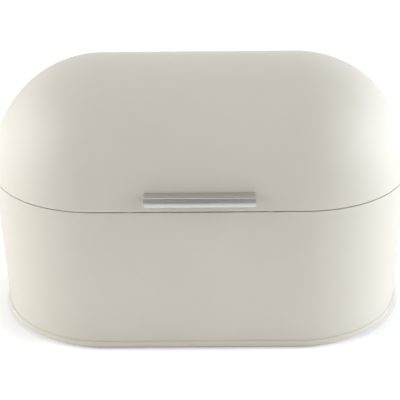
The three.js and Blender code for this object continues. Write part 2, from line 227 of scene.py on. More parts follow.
def box_tool(low, high):
    """A box between two corners. The cube that it starts from reaches half a unit each way."""
    bm = bmesh.new()
    bmesh.ops.create_cube(bm, size=1)
    for vert in bm.verts:
        vert.co = [low[i] + (vert.co[i] + 0.5) * (high[i] - low[i]) for i in range(3)]
    return make_object("tool", bm, None)


def rod_tool(radius, length, matrix):
    """A cylinder along the Y axis, centred on the origin, then put in place."""
    outline = [(0, -length / 2), (radius, -length / 2), (radius, length / 2), (0, length / 2)]
    return turned("tool", outline, None, matrix)


def drill(radius, length, place, tilt=0.0):
    """A cylinder on a tilted Y axis, centred on a place."""
    return rod_tool(radius, length, placed(place, tilt))


def cut(obj, tools, operation="DIFFERENCE"):
    """Boolean cuts or joins. The tools are deleted afterwards."""
    for tool in tools:
        modifier = obj.modifiers.new("cut", "BOOLEAN")
        modifier.operation = operation
        modifier.solver = "EXACT"
        modifier.object = tool
    apply_modifiers(obj)
    for tool in tools:
        mesh = tool.data
        bpy.data.objects.remove(tool)
        bpy.data.meshes.remove(mesh)


def apply_modifiers(obj):
    """Keeps what the modifiers make as the object's own mesh, welded where cuts left slivers."""
    bpy.context.view_layer.update()
    graph = bpy.context.evaluated_depsgraph_get()
    mesh = bpy.data.meshes.new_from_object(obj.evaluated_get(graph))
    bm = bmesh.new()
    bm.from_mesh(mesh)
    bmesh.ops.remove_doubles(bm, verts=bm.verts, dist=AFTER_CUTS)
    bmesh.ops.dissolve_degenerate(bm, edges=bm.edges, dist=AFTER_CUTS)
    bm.to_mesh(mesh)
    bm.free()
    old = obj.data
    obj.modifiers.clear()
    obj.data = mesh
    bpy.data.meshes.remove(old)
    mesh.name = obj.name
    shade(mesh)


def bevel(obj, width):
    modifier = obj.modifiers.new("edges", "BEVEL")
    modifier.width = width
    modifier.segments = BEVEL_STEPS
    modifier.limit_method = "ANGLE"
    modifier.angle_limit = BEVEL_ANGLE
    apply_modifiers(obj)


def keep(obj, body, node):
    """Puts a finished piece on its body, in place of its node."""
    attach(obj, body)
    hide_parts(node)


# Finishes. Tints and roughness go from one end of the noise to the other. A noise is given by its
# features per metre, its detail and its stretch if it has one, a bump by its strength and its depth.
NOISE_LOW = 0.3
NOISE_HIGH = 0.7
PAINT_TINTS = ((0.662, 0.618, 0.528), (0.682, 0.638, 0.548))
PAINT_ROUGHNESS = (0.43, 0.49)
PAINT_SHEEN = 0.3
PAINT_SHEEN_ROUGHNESS = 0.4
PAINT_CLOUD = (14, 3)
PAINT_PATCH = (60, 3)
PAINT_PEEL = (420, 2)
PAINT_GRAIN = (2600, 2)
PEEL_BUMP = (0.06, 0.05 * MM)
GRAIN_BUMP = (0.1, 0.02 * MM)
ALUMINIUM_TINTS = ((0.56, 0.555, 0.54), (0.64, 0.635, 0.62))
ALUMINIUM_ROUGHNESS = (0.23, 0.31)
DRAWN_LINES = (1, 4, (18, 5200, 5200))
LINES_BUMP = (0.12, 0.01 * MM)
STEEL_TINTS = ((0.36, 0.36, 0.365), (0.42, 0.42, 0.42))
STEEL_ROUGHNESS = (0.24, 0.34)
STEEL_CLOUD = (160, 2)
STEEL_GRAIN = (1500, 2)
STEEL_BUMP = (0.05, 0.01 * MM)
RUBBER_TINTS = ((0.02, 0.02, 0.021), (0.035, 0.035, 0.036))
RUBBER_ROUGHNESS = 0.78
RUBBER_CLOUD = (500, 3)
RUBBER_GRAIN = (3500, 2)
RUBBER_BUMP = (0.3, 0.03 * MM)
SILICONE_TINTS = ((0.66, 0.66, 0.64), (0.74, 0.74, 0.72))
SILICONE_ROUGHNESS = 0.42
SILICONE_CLOUD = (300, 2)
SILICONE_DEPTH = (1.2 * MM, 1.2 * MM, 1.0 * MM)
SILICONE_SHARE = 0.25


def new_material(name):
    material = bpy.data.materials.new(name)
    material.use_nodes = True
    nodes = material.node_tree.nodes
    links = material.node_tree.links
    return material, nodes, links, nodes["Principled BSDF"]


def noise(nodes, links, scale, detail, stretch=None):
    """A noise over the object's own coordinates, in features per metre."""
    coordinates = nodes.new("ShaderNodeTexCoord")
    texture = nodes.new("ShaderNodeTexNoise")
    texture.inputs["Scale"].default_value = scale
    texture.inputs["Detail"].default_value = detail
    if stretch:
        mapping = nodes.new("ShaderNodeMapping")
        mapping.inputs["Scale"].default_value = stretch
        links.new(coordinates.outputs["Object"], mapping.inputs["Vector"])
        links.new(mapping.outputs["Vector"], texture.inputs["Vector"])
    else:
        links.new(coordinates.outputs["Object"], texture.inputs["Vector"])
    return texture.outputs["Fac"]


def spread(nodes, links, value, low, high):
    """Maps the middle of a noise's range to low..high."""
    node = nodes.new("ShaderNodeMapRange")
    node.inputs["From Min"].default_value = NOISE_LOW
    node.inputs["From Max"].default_value = NOISE_HIGH
    node.inputs["To Min"].default_value = low
    node.inputs["To Max"].default_value = high
    links.new(value, node.inputs["Value"])
    return node.outputs["Result"]


def tint(nodes, links, shader, value, tints):
    """Mixes the base colour from the darker to the lighter tint over the middle of a noise."""
    node = nodes.new("ShaderNodeValToRGB")
    for element, position, colour in zip(node.color_ramp.elements, (NOISE_LOW, NOISE_HIGH), tints):
        element.position = position
        element.color = (*colour, 1)
    links.new(value, node.inputs["Fac"])
    links.new(node.outputs["Color"], shader.inputs["Base Color"])


def bumps(nodes, links, shader, layers):
    """Chained bumps, each a (height, strength, distance)."""
    last = None
    for height, strength, distance in layers:
        node = nodes.new("ShaderNodeBump")
        node.inputs["Strength"].default_value = strength
        node.inputs["Distance"].default_value = distance
        links.new(height, node.inputs["Height"])
        if last:
            links.new(last, node.inputs["Normal"])
        last = node.outputs["Normal"]
    links.new(last, shader.inputs["Normal"])


def powder_coat():
    """Satin almond powder coat: an even colour, a fine grain and a faint orange peel."""
    material, nodes, links, shader = new_material("powder_coat")
    tint(nodes, links, shader, noise(nodes, links, *PAINT_CLOUD), PAINT_TINTS)
    patches = noise(nodes, links, *PAINT_PATCH)
    links.new(spread(nodes, links, patches, *PAINT_ROUGHNESS), shader.inputs["Roughness"])
    shader.inputs["Sheen Weight"].default_value = PAINT_SHEEN
    shader.inputs["Sheen Roughness"].default_value = PAINT_SHEEN_ROUGHNESS
    grain = noise(nodes, links, *PAINT_GRAIN)
    peel = noise(nodes, links, *PAINT_PEEL)
    bumps(nodes, links, shader, [(peel, *PEEL_BUMP), (grain, *GRAIN_BUMP)])
    return material


def anodised_aluminium():
    """Satin anodised extrusion, with fine lines along its length."""
    material, nodes, links, shader = new_material("anodised_aluminium")
    shader.inputs["Metallic"].default_value = 1.0
    lines = noise(nodes, links, *DRAWN_LINES)
    tint(nodes, links, shader, lines, ALUMINIUM_TINTS)
    links.new(spread(nodes, links, lines, *ALUMINIUM_ROUGHNESS), shader.inputs["Roughness"])
    bumps(nodes, links, shader, [(lines, *LINES_BUMP)])
    return material


def plated_steel():
    """Bright plated steel with the faint unevenness of pressed parts."""
    material, nodes, links, shader = new_material("plated_steel")
    shader.inputs["Metallic"].default_value = 1.0
    cloud = noise(nodes, links, *STEEL_CLOUD)
    tint(nodes, links, shader, cloud, STEEL_TINTS)
    links.new(spread(nodes, links, cloud, *STEEL_ROUGHNESS), shader.inputs["Roughness"])
    bumps(nodes, links, shader, [(noise(nodes, links, *STEEL_GRAIN), *STEEL_BUMP)])
    return material


def foot_rubber():
    """Black moulded rubber with a fine matt grain."""
    material, nodes, links, shader = new_material("foot_rubber")
    tint(nodes, links, shader, noise(nodes, links, *RUBBER_CLOUD), RUBBER_TINTS)
    shader.inputs["Roughness"].default_value = RUBBER_ROUGHNESS
    bumps(nodes, links, shader, [(noise(nodes, links, *RUBBER_GRAIN), *RUBBER_BUMP)])
    return material


def milky_silicone():
    """Milky silicone that lets some light in."""
    material, nodes, links, shader = new_material("milky_silicone")
    tint(nodes, links, shader, noise(nodes, links, *SILICONE_CLOUD), SILICONE_TINTS)
    shader.inputs["Roughness"].default_value = SILICONE_ROUGHNESS
    shader.inputs["Subsurface Weight"].default_value = SILICONE_SHARE
    shader.inputs["Subsurface Radius"].default_value = SILICONE_DEPTH
    shader.inputs["Subsurface Scale"].default_value = 1.0
    return material


PAINT = powder_coat()
ALUMINIUM = anodised_aluminium()
STEEL = plated_steel()
RUBBER = foot_rubber()
SILICONE = milky_silicone()

SIDES = (("left", -1), ("right", 1))


def middle(node):
    """The middle of a part of the frame."""
    low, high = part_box(node)
    return (low + high) / 2


# Sizes and places of the hinges and the fasteners
HINGE_SHEET = 1.3 * MM
KNUCKLE = 2.8 * MM
PIN_RADIUS = 1.2 * MM
BORE = PIN_RADIUS + GAP
PIN_Y = middle("hinge_left_pin").y
HINGE_X = {name: middle(f"hinge_{name}_pin").x for name, _ in SIDES}
leaf_low, leaf_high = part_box("hinge_left_body_leaf")
HINGE_WIDTH = leaf_high.x - leaf_low.x
KNUCKLE_WIDTH = HINGE_WIDTH / 3
BODY_LEAF = SEAM - leaf_low.z
LID_LEAF = 16 * MM
RIVET_SPREAD = middle("rivet_right_body_outer").x - middle("rivet_right_body_inner").x
RIVET_DROP = SEAM - middle("rivet_left_body_outer").z
RIVET_SHANK = 1.5 * MM
RIVET_HEAD = 3.1 * MM
RIVET_HEAD_HEIGHT = 1.5 * MM
RIVET_TAIL = 2.7 * MM
RIVET_TAIL_HEIGHT = 0.9 * MM
LID_RIVET_RISE = 10 * MM
LID_RIVET_ANGLE = LID_RIVET_RISE / RADIUS
SCREW_RADIUS = 2 * MM
SCREW_RISE = 12.6 * MM
SCREW_ANGLE = math.asin(SCREW_RISE / RADIUS)
SCREW_X = middle("grip_screw_right").x
OVERRUN = 6 * MM


def on_dome(x, radius, angle, side):
    """A point round the dome's centre line, at the front (-1) or the back (1)."""
    return Vector((x, side * radius * math.cos(angle), SEAM + radius * math.sin(angle)))


def outwards(angle, side):
    """The tilt that turns the Y axis outwards there."""
    return angle if side > 0 else HALF_TURN - angle


# Tub
VENT_RADIUS = 3 * MM
VENT_PITCH = 16 * MM
VENT_COUNT = 5
VENT_HEIGHT_SHARE = 0.62


def make_wall():
    """The upright wall, whose rim turns inwards as a ledge with a hanging lip."""
    inner = RADIUS - LEDGE_WIDTH
    corner = inner + LEDGE_CORNER
    outline = joined(
        run((RADIUS, WALL_FOOT), (RADIUS, RIM_TOP - RIM_CORNER)),
        arc(RADIUS - RIM_CORNER, RIM_TOP - RIM_CORNER, RIM_CORNER, 0, QUARTER),
        run((RADIUS - RIM_CORNER, RIM_TOP), (corner, RIM_TOP)),
        arc(corner, RIM_TOP - LEDGE_CORNER, LEDGE_CORNER, QUARTER, HALF_TURN),
        run((inner, RIM_TOP - LEDGE_CORNER), (inner, RIM_TOP - LIP_DROP)),
        [(inner + SHEET, RIM_TOP - LIP_DROP)],
        arc(corner, RIM_TOP - LEDGE_CORNER, LEDGE_CORNER - SHEET, HALF_TURN, QUARTER),
        run((corner, RIM_TOP - SHEET), (RADIUS - SHEET, RIM_TOP - SHEET)),
        run((RADIUS - SHEET, RIM_TOP - SHEET), (RADIUS - SHEET, WALL_FOOT)),
    )
    wall = round_the_plan("painted_wall", outline, PAINT)
    tools = []
    for hole in range(VENT_COUNT):
        x = (hole - (VENT_COUNT - 1) / 2) * VENT_PITCH
        tools.append(drill(VENT_RADIUS, OVERRUN, (x, RADIUS, RIM_TOP * VENT_HEIGHT_SHARE)))
    for name, _ in SIDES:
        for _, offset in SIDES:
            x = HINGE_X[name] + offset * RIVET_SPREAD / 2
            tools.append(drill(RIVET_SHANK + GAP, OVERRUN, (x, RADIUS, SEAM - RIVET_DROP)))
    for node in BUFFERS:
        place = middle(node)
        tools.append(drill(BUFFER_STEM + GAP, OVERRUN, (place.x, place.y, RIM_TOP), QUARTER))
    cut(wall, tools)
    keep(wall, "tub", "tub_wall")


def make_ring():
    """A half-round bead, with a channel inside for the feet of the wall and the floor pan."""
    channel_out = RADIUS + GAP
    channel_in = RADIUS - 2 * SHEET - 2 * GAP
    inside = channel_in - SHEET
    centre = RING_OUT - RING_BEAD
    middle_height = RING_FOOT + RING_BEAD_HEIGHT / 2
    top = math.acos((channel_out - centre) / RING_BEAD)
    outline = joined(
        run((inside, RING_FOOT), (centre, RING_FOOT)),
        ellipse(centre, middle_height, RING_BEAD, middle_height - RING_FOOT, -QUARTER, top, 3 * EDGE_STEPS),
        [(channel_out, RING_FOOT + RING_WEB), (channel_in, RING_FOOT + RING_WEB)],
        [(channel_in, RING_FOOT + RING_LEG), (inside, RING_FOOT + RING_LEG)],
    )
    ring = round_the_plan("painted_base_ring", outline, PAINT)
    keep(ring, "tub", "base_ring")


def make_floor():
    """A pan with a sunken panel in its middle and an edge that turns down into the ring."""
    out = RADIUS - SHEET - GAP
    edge = RADIUS - PANEL_INSET
    corner = out - FLOOR_CORNER
    height = FLOOR_TOP - FLOOR_CORNER
    step = PANEL_DROP / 2

    def eased(level):
        """The pressed step of the panel as an S, from the sunken middle to the rim."""
        points = []
        for share in range(EDGE_STEPS + 1):
            along = share / EDGE_STEPS
            rise = step * (1 - math.cos(HALF_TURN * along))
            points.append((edge - PANEL_SLOPE * (1 - along), level - PANEL_DROP + rise))
        return points

    outline = joined(
        [(0, PANEL_TOP - SHEET)],
        eased(FLOOR_TOP - SHEET),
        [(corner, FLOOR_TOP - SHEET)],
        arc(corner, height, FLOOR_CORNER - SHEET, QUARTER, 0),
        [(out - SHEET, WALL_FOOT), (out, WALL_FOOT)],
        arc(corner, height, FLOOR_CORNER, 0, QUARTER),
        eased(FLOOR_TOP)[::-1],
        [(0, PANEL_TOP)],
    )
    pan = round_the_plan("painted_floor", outline, PAINT)
    tools = []
    for node in FEET:
        place = middle(node)
        tools.append(drill(FOOT_STEM + GAP, OVERRUN, (place.x, place.y, PANEL_TOP), QUARTER))
    cut(pan, tools)
    keep(pan, "tub", "tub_floor")


# Feet and buffers
FEET = [f"foot_{end}_{side}" for end in ("front", "rear") for side, _ in SIDES]
BUFFERS = [f"buffer_{where}_{side}" for where in ("front", "end") for side, _ in SIDES]
FOOT_RADIUS = 9 * MM
FOOT_EDGE = 1.2 * MM
FOOT_STEM = 2.5 * MM
FOOT_BARB = 4 * MM
FOOT_BARB_HEIGHT = 1.6 * MM
BUFFER_HEAD = 3 * MM
BUFFER_STEM = 1.3 * MM
BUFFER_BARB = 2.1 * MM
BUFFER_BARB_HEIGHT = 2.4 * MM


def make_foot(node):
    place = middle(node)
    shoulder = PANEL_TOP - SHEET - GAP
    barb = PANEL_TOP + GAP
    outline = joined(
        [(0, 0), (FOOT_RADIUS - FOOT_EDGE, 0)],
        arc(FOOT_RADIUS - FOOT_EDGE, FOOT_EDGE, FOOT_EDGE, -QUARTER, 0),
        arc(FOOT_RADIUS - FOOT_EDGE / 2, shoulder - FOOT_EDGE / 2, FOOT_EDGE / 2, 0, QUARTER),
        [(FOOT_STEM, shoulder), (FOOT_STEM, barb), (FOOT_BARB - FOOT_EDGE / 4, barb)],
        ellipse(0, barb, FOOT_BARB, FOOT_BARB_HEIGHT, 0, QUARTER, EDGE_STEPS),
        [(0, barb + FOOT_BARB_HEIGHT)],
    )
    foot = turned(f"rubber_{node}", outline, RUBBER, placed((place.x, place.y, 0), QUARTER))
    keep(foot, "tub", node)


def make_buffer(node):
    place = middle(node)
    head = LID_BOTTOM - RIM_TOP - GAP
    barb = -SHEET - GAP
    outline = joined(
        [(0, barb - BUFFER_BARB_HEIGHT), (BUFFER_STEM, barb - BUFFER_BARB_HEIGHT)],
        [(BUFFER_BARB, barb), (BUFFER_STEM, barb), (BUFFER_STEM, 0), (BUFFER_HEAD, 0)],
        ellipse(0, 0, BUFFER_HEAD, head, 0, QUARTER, 2 * EDGE_STEPS),
        [(0, head)],
    )
    buffer = turned(f"silicone_{node}", outline, SILICONE, placed((place.x, place.y, RIM_TOP), QUARTER))
    keep(buffer, "tub", node)


# Lid
def make_lid():
    """Half a capsule with a flush, rounded hem that hangs a little lower than the solid's edge."""
    inner = RADIUS - SHEET
    bend_x = RADIUS - HEM_WIDTH
    bend_z = LID_BOTTOM - HEM_DROP + HEM_HEIGHT

    def lowest(radius, height):
        return math.asin((height - SEAM) / radius)

    outline = joined(
        arc(0, SEAM, RADIUS, lowest(RADIUS, bend_z), QUARTER, DOME_STEPS),
        [(0, SEAM + RADIUS), (0, SEAM + inner)],
        arc(0, SEAM, inner, QUARTER, lowest(inner, bend_z + HEM_HEIGHT), DOME_STEPS),
        ellipse(bend_x, bend_z, HEM_WIDTH, HEM_HEIGHT, HALF_TURN, 1.5 * HALF_TURN, 2 * EDGE_STEPS),
        ellipse(bend_x, bend_z, HEM_WIDTH, HEM_HEIGHT, -QUARTER, 0, 2 * EDGE_STEPS)[:-1],
    )
    lid = round_the_plan("painted_lid", outline, PAINT)
    tools = []
    for name, side in SIDES:
        for _, offset in SIDES:
            place = on_dome(HINGE_X[name] + offset * RIVET_SPREAD / 2, RADIUS, LID_RIVET_ANGLE, 1)
            tools.append(drill(RIVET_SHANK + GAP, OVERRUN, place, LID_RIVET_ANGLE))
        place = on_dome(side * SCREW_X, RADIUS, SCREW_ANGLE, -1)
        tools.append(drill(SCREW_RADIUS + GAP, OVERRUN, place, outwards(SCREW_ANGLE, -1)))
    cut(lid, tools)
    keep(lid, "lid", "lid_shell")


# Grip
grip_low, grip_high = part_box("lid_grip")
GRIP_LENGTH = grip_high.x - grip_low.x
GRIP_FRONT = grip_low.y
GRIP_TOP = grip_high.z
LIP_RISE = 9.2 * MM
LIP_THICKNESS = 2.4 * MM
LIP_CURL = 6.6 * MM
SHELF = 1.8 * MM
SHELF_FALL = 0.8 * MM
SHELF_EDGE = 0.35 * MM
BAND_HOLD = 0.3 * MM
FLANGE = 1.8 * MM
FLANGE_BOTTOM = 6.5 * MM
FINGER_CORNER = 1.6 * MM
SAWN_EDGE = 0.25 * MM


def make_grip():
    """An extrusion with a shelf that falls to the back, a flat band and a lip that curls under."""
    seat = RADIUS + GAP
    rise = GRIP_TOP - SHELF_FALL - SEAM
    lip_inner = GRIP_FRONT + LIP_THICKNESS
    under = GRIP_TOP - SHELF - SHELF_FALL
    flange_front = seat + FLANGE

    def back_angle(height, radius):
        return HALF_TURN - math.asin(height / radius)

    flange_top_angle = back_angle(under - SEAM, flange_front)
    flange_bottom_angle = back_angle(FLANGE_BOTTOM, flange_front)
    top_back = -seat * math.cos(math.asin(rise / seat))
    curl_z = SEAM + LIP_RISE + LIP_CURL
    outline = joined(
        arc(0, SEAM, seat, back_angle(FLANGE_BOTTOM, seat), back_angle(rise, seat)),
        run((top_back, SEAM + rise), (GRIP_FRONT + SHELF_EDGE, GRIP_TOP)),
        arc(GRIP_FRONT + SHELF_EDGE, GRIP_TOP - SHELF_EDGE, SHELF_EDGE, QUARTER, HALF_TURN),
        run((GRIP_FRONT, GRIP_TOP - SHELF_EDGE), (GRIP_FRONT, curl_z), BAND_HOLD),
        ellipse(lip_inner, curl_z, LIP_THICKNESS, LIP_CURL, HALF_TURN, 1.5 * HALF_TURN, 3 * EDGE_STEPS),
        arc(lip_inner + FINGER_CORNER, under - FINGER_CORNER, FINGER_CORNER, HALF_TURN, QUARTER),
        arc(0, SEAM, flange_front, flange_top_angle, flange_bottom_angle),
    )
    grip = along_x("aluminium_grip", outline, GRIP_LENGTH, ALUMINIUM)
    bevel(grip, SAWN_EDGE)
    tools = []
    for _, side in SIDES:
        place = on_dome(side * SCREW_X, seat, SCREW_ANGLE, -1)
        tools.append(drill(SCREW_RADIUS + GAP, OVERRUN, place, outwards(SCREW_ANGLE, -1)))
    cut(grip, tools)
    keep(grip, "lid", "lid_grip")


# Screws and washers of the grip
SCREW_HEAD = 3.8 * MM
SCREW_HEAD_HEIGHT = 2.2 * MM
HEAD_SIDE_SHARE = 0.35
RECESS_WIDTH = 1.1 * MM
RECESS_LENGTH = 4.2 * MM
RECESS_DEPTH = 1.3 * MM
WASHER = 4.6 * MM
WASHER_THICKNESS = 0.8 * MM
WASHER_EDGE = 0.12 * MM


def screw_place(side):
    """The place on the inside of the lid, with the Y axis pointing outwards through the grip."""
    return placed(on_dome(side * SCREW_X, RADIUS - SHEET, SCREW_ANGLE, -1), outwards(SCREW_ANGLE, -1))


def make_screw(name, side):
    matrix = screw_place(side)
    foot = -2 * GAP - WASHER_THICKNESS
    tip = SHEET + GAP + FLANGE
    shoulder = foot - SCREW_HEAD_HEIGHT * HEAD_SIDE_SHARE
    crown = SCREW_HEAD_HEIGHT - SCREW_HEAD_HEIGHT * HEAD_SIDE_SHARE
    outline = joined(
        [(0, tip), (0, foot - SCREW_HEAD_HEIGHT)],
        ellipse(0, shoulder, SCREW_HEAD, crown, -QUARTER, 0, EDGE_STEPS)[1:],
        [(SCREW_HEAD, foot), (SCREW_RADIUS, foot), (SCREW_RADIUS, tip)],
    )
    screw = turned(f"steel_grip_screw_{name}", outline, STEEL, matrix)
    recess_top = foot - SCREW_HEAD_HEIGHT
    tools = []
    for wide, tall in ((RECESS_LENGTH, RECESS_WIDTH), (RECESS_WIDTH, RECESS_LENGTH)):
        low = (-wide / 2, recess_top - RECESS_DEPTH, -tall / 2)
        high = (wide / 2, recess_top + RECESS_DEPTH, tall / 2)
        tool = box_tool(low, high)
        tool.data.transform(matrix)
        tools.append(tool)
    cut(screw, tools)
    keep(screw, "lid", f"grip_screw_{name}")


def make_washer(name, side):
    bore = SCREW_RADIUS + GAP
    low, high = -GAP - WASHER_THICKNESS, -GAP
    outline = [(bore, low), (WASHER, low), (WASHER, high), (bore, high)]
    washer = turned(f"steel_grip_washer_{name}", outline, STEEL, screw_place(side))
    bevel(washer, WASHER_EDGE)
    keep(washer, "lid", f"grip_washer_{name}")


# Hinges
LEAF_FACE = HINGE_SHEET - KNUCKLE
LEAF_EDGE = 0.18 * MM
STOP_WIDTH = 8 * MM
STOP_REACH = 7 * MM
LID_OPENS = math.radians(95)


def stop_outline():
    """The stop passes under the lid's knuckle and turns up behind it, where the open lid meets it."""
    web_top = -KNUCKLE - 2 * GAP
    web_bottom = web_top - HINGE_SHEET
    inner = STOP_REACH - HINGE_SHEET
    leaf_radius = RADIUS + GAP + HINGE_SHEET
    bow = leaf_radius - math.sqrt(leaf_radius ** 2 - STOP_REACH ** 2)
    top = (bow - LEAF_FACE) * math.sin(LID_OPENS) + STOP_REACH * math.cos(LID_OPENS) - GAP
    root = LEAF_FACE - HINGE_SHEET / 2
    return joined(
        [(root, web_bottom)],
        arc(inner, web_bottom + HINGE_SHEET, HINGE_SHEET, -QUARTER, 0),
        [(STOP_REACH, top), (inner, top), (inner, web_top), (root, web_top)],
    )


def make_body_leaf(name):
    centre = (HINGE_X[name], PIN_Y, SEAM)
    meets = HALF_TURN + math.acos(-LEAF_FACE / KNUCKLE)
    outline = joined(
        [(-KNUCKLE, -BODY_LEAF), (LEAF_FACE, -BODY_LEAF)],
        arc(0, 0, KNUCKLE, meets - 2 * HALF_TURN, HALF_TURN, ROUND_STEPS),
    )
    leaf = along_x(f"steel_hinge_{name}_body_leaf", outline, HINGE_WIDTH, STEEL, centre)
    reach = KNUCKLE + GAP
    half = KNUCKLE_WIDTH / 2 + GAP
    low = (centre[0] - half, centre[1] - OVERRUN, SEAM - reach)
    high = (centre[0] + half, centre[1] + OVERRUN, SEAM + reach)
    tools = [box_tool(low, high), bore_tool(centre)]
    for _, offset in SIDES:
        place = (centre[0] + offset * RIVET_SPREAD / 2, centre[1] + LEAF_FACE, SEAM - RIVET_DROP)
        tools.append(drill(RIVET_SHANK + GAP, OVERRUN, place))
    cut(leaf, tools)
    cut(leaf, [along_x("tool", stop_outline(), STOP_WIDTH, None, centre)], "UNION")
    bevel(leaf, LEAF_EDGE)
    keep(leaf, "tub", f"hinge_{name}_body_leaf")


def along_pin(centre):
    """Turns a piece made along Y to lie along the hinge's pin."""
    return Matrix.Translation(centre) @ Matrix.Rotation(QUARTER, 4, "Z")


def bore_tool(centre):
    return rod_tool(BORE, HINGE_WIDTH + OVERRUN, along_pin(centre))


def make_lid_leaf(name):
    centre = (HINGE_X[name], PIN_Y, SEAM)
    inner = RADIUS + GAP
    outer = inner + HINGE_SHEET
    rise = LID_LEAF / inner
    meets = HALF_TURN - math.acos(-LEAF_FACE / KNUCKLE)
    first = math.asin(KNUCKLE * math.sin(meets) / outer)
    outline = joined(
        arc(0, 0, KNUCKLE, -HALF_TURN, meets, ROUND_STEPS)[:-1],
        arc(-PIN_Y, 0, outer, first, rise),
        arc(-PIN_Y, 0, inner, rise, 0)[:-1],
    )
    leaf = along_x(f"steel_hinge_{name}_lid_leaf", outline, HINGE_WIDTH, STEEL, centre)
    reach = KNUCKLE + GAP
    tools = [bore_tool(centre)]
    for _, side in SIDES:
        near = centre[0] + side * (KNUCKLE_WIDTH / 2 - GAP)
        far = centre[0] + side * (HINGE_WIDTH / 2 + OVERRUN)
        tools.append(box_tool((min(near, far), centre[1] - OVERRUN, SEAM - reach),
                              (max(near, far), centre[1] + OVERRUN, SEAM + reach)))
        place = on_dome(centre[0] + side * RIVET_SPREAD / 2, outer, LID_RIVET_ANGLE, 1)
        tools.append(drill(RIVET_SHANK + GAP, OVERRUN, place, LID_RIVET_ANGLE))
    cut(leaf, tools)
    bevel(leaf, LEAF_EDGE)
    keep(leaf, "lid", f"hinge_{name}_lid_leaf")


def make_pin(name):
    end = HINGE_WIDTH / 2 + GAP
    pin_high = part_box(f"hinge_{name}_pin")[1]
    head = pin_high.z - SEAM
    height = (pin_high.x - HINGE_X[name]) - end
    outline = joined(
        [(0, -end - height)],
        arc(head - height / 2, -end - height / 2, height / 2, -QUARTER, 0),
        [(head, -end), (PIN_RADIUS, -end), (PIN_RADIUS, end), (head, end)],
        arc(head - height / 2, end + height / 2, height / 2, 0, QUARTER),
        [(0, end + height)],
    )
    pin = turned(f"steel_hinge_{name}_pin", outline, STEEL, along_pin((HINGE_X[name], PIN_Y, SEAM)))
    keep(pin, "tub", f"hinge_{name}_pin")


def make_rivet(node, body, place, tilt=0.0):
    """A rivet whose Y axis points outwards, with y = 0 on the outer face of the leaf."""
    tail = -HINGE_SHEET - SHEET - 2 * GAP
    edge = RIVET_TAIL_HEIGHT / 3
    outline = joined(
        [(0, tail - RIVET_TAIL_HEIGHT)],
        arc(RIVET_TAIL - edge, tail - RIVET_TAIL_HEIGHT + edge, edge, -QUARTER, 0),
        [(RIVET_TAIL, tail), (RIVET_SHANK, tail), (RIVET_SHANK, GAP)],
        ellipse(0, GAP, RIVET_HEAD, RIVET_HEAD_HEIGHT, 0, QUARTER, 2 * EDGE_STEPS)[:-1],
        [(0, GAP + RIVET_HEAD_HEIGHT)],
    )
    rivet = turned(f"steel_{node}", outline, STEEL, placed(place, tilt))
    keep(rivet, body, node)


def make_hinge(name, side):
    make_body_leaf(name)
    make_lid_leaf(name)
    make_pin(name)
    for where, offset in (("inner", -side), ("outer", side)):
        x = HINGE_X[name] + offset * RIVET_SPREAD / 2
        make_rivet(f"rivet_{name}_body_{where}", "tub", (x, PIN_Y + LEAF_FACE, SEAM - RIVET_DROP))
        place = on_dome(x, RADIUS + GAP + HINGE_SHEET, LID_RIVET_ANGLE, 1)
        make_rivet(f"rivet_{name}_lid_{where}", "lid", place, LID_RIVET_ANGLE)


# Camera, from a fit to the photograph's outline
CAMERA_TARGET = Vector((0, 0, 0.1))
CAMERA_AZIMUTH = math.radians(0.484)
CAMERA_ELEVATION = math.radians(26.886)
CAMERA_DISTANCE = 0.9069
CAMERA_ROLL = math.radians(-0.61)
FOCAL_PIXELS = 855.3
FRAME_PIXELS = 400
CENTRE_PIXEL = (200.743, 206.551)
SENSOR = 36


def make_camera():
    data = bpy.data.cameras.new("camera")
    data.sensor_width = SENSOR
    data.lens = FOCAL_PIXELS / FRAME_PIXELS * SENSOR
    data.shift_x = (FRAME_PIXELS / 2 - CENTRE_PIXEL[0]) / FRAME_PIXELS
    data.shift_y = (CENTRE_PIXEL[1] - FRAME_PIXELS / 2) / FRAME_PIXELS
    camera = bpy.data.objects.new("camera", data)
    bpy.context.scene.collection.objects.link(camera)
    level = Vector((math.sin(CAMERA_AZIMUTH), -math.cos(CAMERA_AZIMUTH), 0))
    back = level * math.cos(CAMERA_ELEVATION) + Vector((0, 0, math.sin(CAMERA_ELEVATION)))
    turn = (-back).to_track_quat("-Z", "Y").to_matrix().to_4x4()
    place = Matrix.Translation(CAMERA_TARGET + back * CAMERA_DISTANCE)
    camera.matrix_world = place @ turn @ Matrix.Rotation(CAMERA_ROLL, 4, "Z")
    bpy.context.scene.camera = camera


# Stage: a pale floor that glows a little, with painted shadows and painted bounce light, and its distances
# from the foot of the box
FLOOR_SIZE = 3.0
FLOOR_DROP = 0.05 * MM
FLOOR_WHITE = 0.8
MATT_ROUGHNESS = 0.9
# The floor's glow: where it is seen it keeps the floor white, and onto the box it is painted bounce light
FLOOR_GLOW = 0.38
# Painted contact shadow: the floor's glow right at the foot of the box, and how far out it is back to full
PAINTED_SHADOW_GLOW = 0.14
PAINTED_SHADOW_REACH = 4 * MM
# Painted bounce light onto the box: its glow at the foot, weaker there as painted shade on the lower wall,
# and how far out it is back to full
PAINTED_FOOT_SHADE_GLOW = 0.12
PAINTED_BOUNCE_REACH = 60 * MM
SWEEP_NEAR = 0.3
SWEEP_FAR = 1.0

# Painted light beside the ends, as the floor's least glow there: where along X it starts and ends to rise,
# and from what to what
PAINTED_LIGHT_BESIDE_ENDS = (0.04, 0.16, 0.0, 0.27)

# The painted shadow on the floor round the ends: its strength, its reach, and where past the straight side
# it sets in
PAINTED_END_SHADOW = 0.15
PAINTED_END_SHADOW_REACH = 35 * MM
PAINTED_END_SHADOW_SPAN = (0.03, 0.09)

# A grey card in front that only reflections show, from low and near to high and far along Y
CARD_GREY = 0.36
CARD_HALF_WIDTH = 0.9
CARD_NEAR = -0.35
CARD_FAR = -0.85
CARD_LIFT = 4 * MM
CARD_TOP = 0.36

